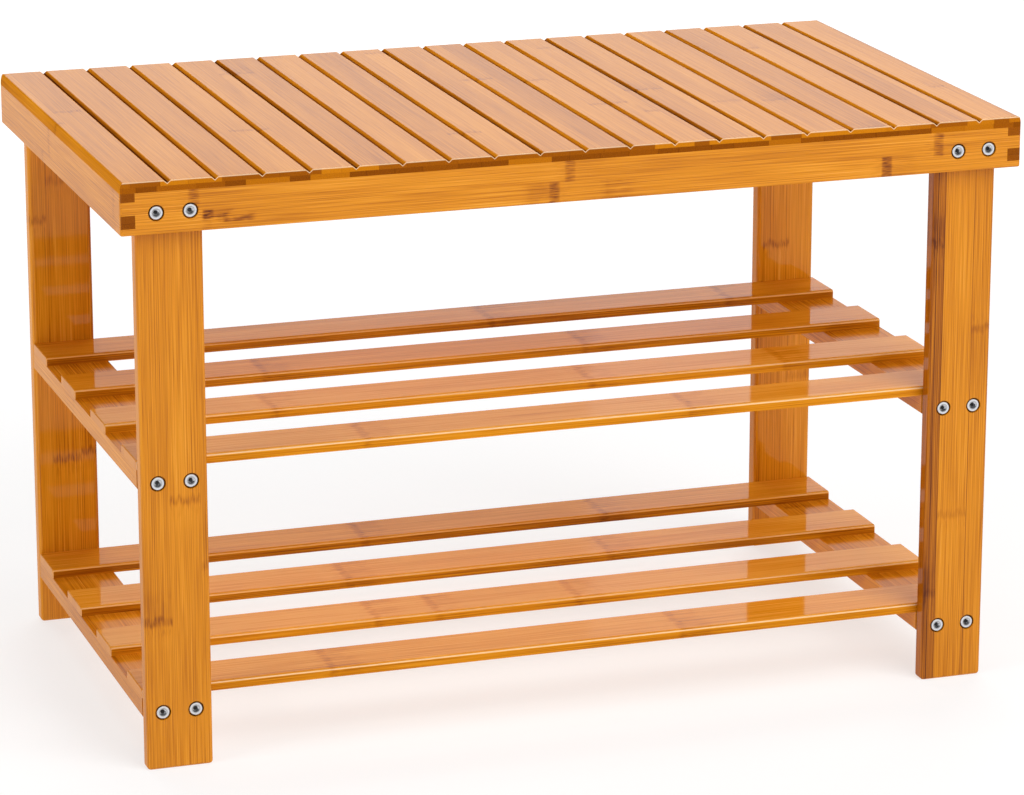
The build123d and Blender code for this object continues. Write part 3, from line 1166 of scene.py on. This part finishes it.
@dataclass
class Shelf:
    """One shelf: two cross rails and its slats, counted from the front."""

    level: Level
    seed: float
    # Painted light: each slat's tone stands in for how much light reaches it under the seat
    slat_levels_with_painted_light: tuple[float, ...]
    slat_knuckles: tuple[tuple[float, ...], ...]
    # Painted highlight on each slat's arris, from the front, fainter for slats further under the seat
    slat_painted_highlights: tuple[float, ...] = (0.8, 0.5, 0.4, 0.3)
    # Painted shade: level of the front slat's edges, and how much darker the edges of each slat behind
    # it are, deeper under the seat
    slat_shaded_edge_level: float = 0.64
    slat_edge_shade_step: float = 0.07
    slat_edge_varnish: float = 0.2
    slat_varnish: float = 0.5
    # Painted highlight: pale band along each slat's arris
    arris_highlight_gain: float = 0.3
    arris_varnish: float = 0.5
    knuckle_strength: float = 1.35
    knuckle_smear: float = 0.07
    first_slat_seed: float = 3.0
    rail_spread: float = 0.08
    rail_streak: float = 0.9
    rail_varnish_roughness: float = 0.16

    def dress(self) -> None:
        """Gives each shelf piece its finish."""
        for number, side in enumerate(("left", "right")):
            dress(Bamboo(
                f"{self.level.value}_shelf_{side}_cross_rail", Axis.Y, Axis.X, Axis.Z,
                strip_spread=self.rail_spread, streak=self.rail_streak,
                varnish_roughness=self.rail_varnish_roughness, seed=self.seed + number,
            ))
        for number in range(len(self.slat_levels_with_painted_light)):
            self._dress_slat(number)

    def _dress_slat(self, number: int) -> None:
        """Gives one slat its finish.

        Args:
            number: The slat's number, from 0 at the front.
        """
        node = f"{self.level.value}_shelf_slat_{number + 1}"
        width = size_of(node, Axis.Y)
        knuckles = tuple(
            Knuckle(place, 0.0, width, self.knuckle_strength, self.knuckle_smear)
            for place in self.slat_knuckles[number]
        )
        level = self.slat_levels_with_painted_light[number]
        # Painted shade on the slat's edges, darker for slats further under the seat
        shaded_edge_level = self.slat_shaded_edge_level - self.slat_edge_shade_step * number
        dress(Bamboo(
            node, Axis.X, Axis.Y, Axis.Z, knuckles=knuckles, level=level, edge_darkening=level - shaded_edge_level,
            arris_highlight_gain=self.arris_highlight_gain, painted_arris_highlight=self.slat_painted_highlights[number],
            arris_varnish=self.arris_varnish, edge_varnish=self.slat_edge_varnish,
            varnish=self.slat_varnish, seed=self.seed + self.first_slat_seed + number,
        ))


LOWER_SHELF = Shelf(
    Level.LOWER,
    seed=41.0,
    # Painted light: tone of each slat, from the front, matched to how lit it is under the seat
    slat_levels_with_painted_light=(0.84, 0.97, 0.92, 0.82),
    slat_knuckles=((148.0, 429.0), (213.0, 262.0, 377.0), (219.0, 440.0), (261.0, 469.0)),
)
UPPER_SHELF = Shelf(
    Level.UPPER,
    seed=51.0,
    # Painted light: tone of each slat, from the front, matched to how lit it is under the seat
    slat_levels_with_painted_light=(0.97, 0.92, 0.77, 0.7),
    slat_knuckles=((177.0, 434.0), (132.0, 387.0, 550.0), (153.0, 418.0), (370.0, 579.0)),
)


@dataclass
class Screws:
    """All screws of the bench."""

    nodes: tuple[str, ...] = (
        "seat_rail_screws",
        "upper_shelf_screws",
        "lower_shelf_screws",
        "upper_shelf_slat_screws",
        "lower_shelf_slat_screws",
    )
    spacing: float = 25.0

    def dress(self) -> None:
        """Gives each group of screws its finish."""
        leg_centre = middle_of("front_right_leg", Axis.X)
        for node in self.nodes:
            dress(Zinc(node, leg_centre, self.spacing / 2))


@dataclass(frozen=True)
class Softbox:
    """Soft rectangular light, in metres and watts; shiny surfaces show it if it is mirrored."""

    name: str
    place: Point
    aim: Point
    width: float
    height: float
    power: float
    mirrored: bool

    def build(self) -> None:
        """Makes the light."""
        data = bpy.data.lights.new(self.name, "AREA")
        data.shape = "RECTANGLE"
        data.size = self.width
        data.size_y = self.height
        data.energy = self.power
        light = bpy.data.objects.new(self.name, data)
        light.location = self.place
        toward = Vector(self.aim) - Vector(self.place)
        light.rotation_euler = toward.to_track_quat("-Z", "Y").to_euler()
        light.visible_camera = False
        light.visible_glossy = self.mirrored
        bpy.context.scene.collection.objects.link(light)


@dataclass
class Studio:
    """Pale floor, soft lights and the camera, in metres and radians, with the floor's glow in mm."""

    camera_place: Point = (-1.04007, -3.13063, 1.15288)
    camera_yaw: float = 0.3237
    camera_pitch: float = 0.27945
    camera_reach: float = 100.0
    focal_pixels: float = 4348.0
    picture_width: float = 1024.0
    sensor: float = 36.0
    floor_size: float = 40.0
    floor_colour: Colour = (0.35, 0.35, 0.35)
    floor_roughness: float = 0.8
    near_glow: float = 0.66
    far_glow: float = 0.9
    glow_centre: float = -1500.0
    glow_limits: Limits = (1600.0, 5000.0)
    white: Colour = (1.0, 1.0, 1.0)
    sky: float = 0.17
    lights: tuple[Softbox, ...] = (
        Softbox("key_light", (1.05, -2.35, 2.0), (0.0, -0.2, 0.25), 2.4, 2.4, 70.0, False),
        Softbox("left_light", (-3.0, -0.8, 1.1), (0.0, 0.0, 0.25), 1.5, 1.5, 40.0, False),
        Softbox("top_light", (0.0, -0.2, 2.5), (0.0, 0.0, 0.4), 2.0, 2.0, 14.0, False),
        Softbox("high_back_light", (0.9, 4.3, 2.9), (0.0, 0.0, 0.3), 6.0, 1.4, 150.0, False),
        Softbox("back_light", (3.0, 9.0, 1.55), (0.0, 0.0, 1.55), 5.0, 2.4, 53.0, True),
        Softbox("upper_back_light", (3.0, 9.0, 3.62), (0.0, 0.0, 3.62), 5.0, 1.75, 24.0, True),
        Softbox("right_back_light", (4.31, 8.56, 3.62), (1.31, -0.44, 3.62), 2.23, 1.75, 4.5, True),
    )

    def build(self) -> None:
        """Makes the floor, the lights and the camera."""
        bpy.context.scene.view_settings.view_transform = "Standard"
        self._floor()
        self._sky()
        for light in self.lights:
            light.build()
        self._camera()

    def _floor(self) -> None:
        """Makes the floor, which glows a little more away from the bench."""
        bpy.ops.mesh.primitive_plane_add(size=self.floor_size)
        floor = bpy.context.object
        floor.name = "floor"
        sheet = Sheet("pale_floor")
        from_centre = sheet.along(Axis.X).diagonal(sheet.along(Axis.Y) - self.glow_centre)
        near = self.near_glow / self.far_glow
        glow = sheet.blend(from_centre.ease(*self.glow_limits), (near, near, near), self.white)
        sheet.set_surface(
            Base_Color=self.floor_colour,
            Roughness=self.floor_roughness,
            Specular_IOR_Level=0.0,
            Emission_Color=glow,
            Emission_Strength=self.far_glow,
        )
        floor.data.materials.append(sheet.material)

    def _sky(self) -> None:
        """Makes the even light from all round."""
        world = bpy.data.worlds.new("studio")
        bpy.context.scene.world = world
        world.use_nodes = True
        background = world.node_tree.nodes["Background"]
        background.inputs["Color"].default_value = (*self.white, 1.0)
        background.inputs["Strength"].default_value = self.sky

    def _camera(self) -> None:
        """Makes the camera."""
        data = bpy.data.cameras.new("camera")
        data.sensor_width = self.sensor
        data.lens = self.focal_pixels / self.picture_width * self.sensor
        data.clip_end = self.camera_reach
        camera = bpy.data.objects.new("camera", data)
        camera.location = self.camera_place
        camera.rotation_euler = Euler((math.pi / 2 - self.camera_pitch, 0.0, -self.camera_yaw))
        bpy.context.scene.collection.objects.link(camera)
        bpy.context.scene.camera = camera


def main() -> None:
    """Builds the looks in order."""
    logging.basicConfig(level=logging.INFO)
    Studio().build()
    Seat().dress()
    Legs().dress()
    LOWER_SHELF.dress()
    UPPER_SHELF.dress()
    Screws().dress()


if __name__ == "__main__":
    main()
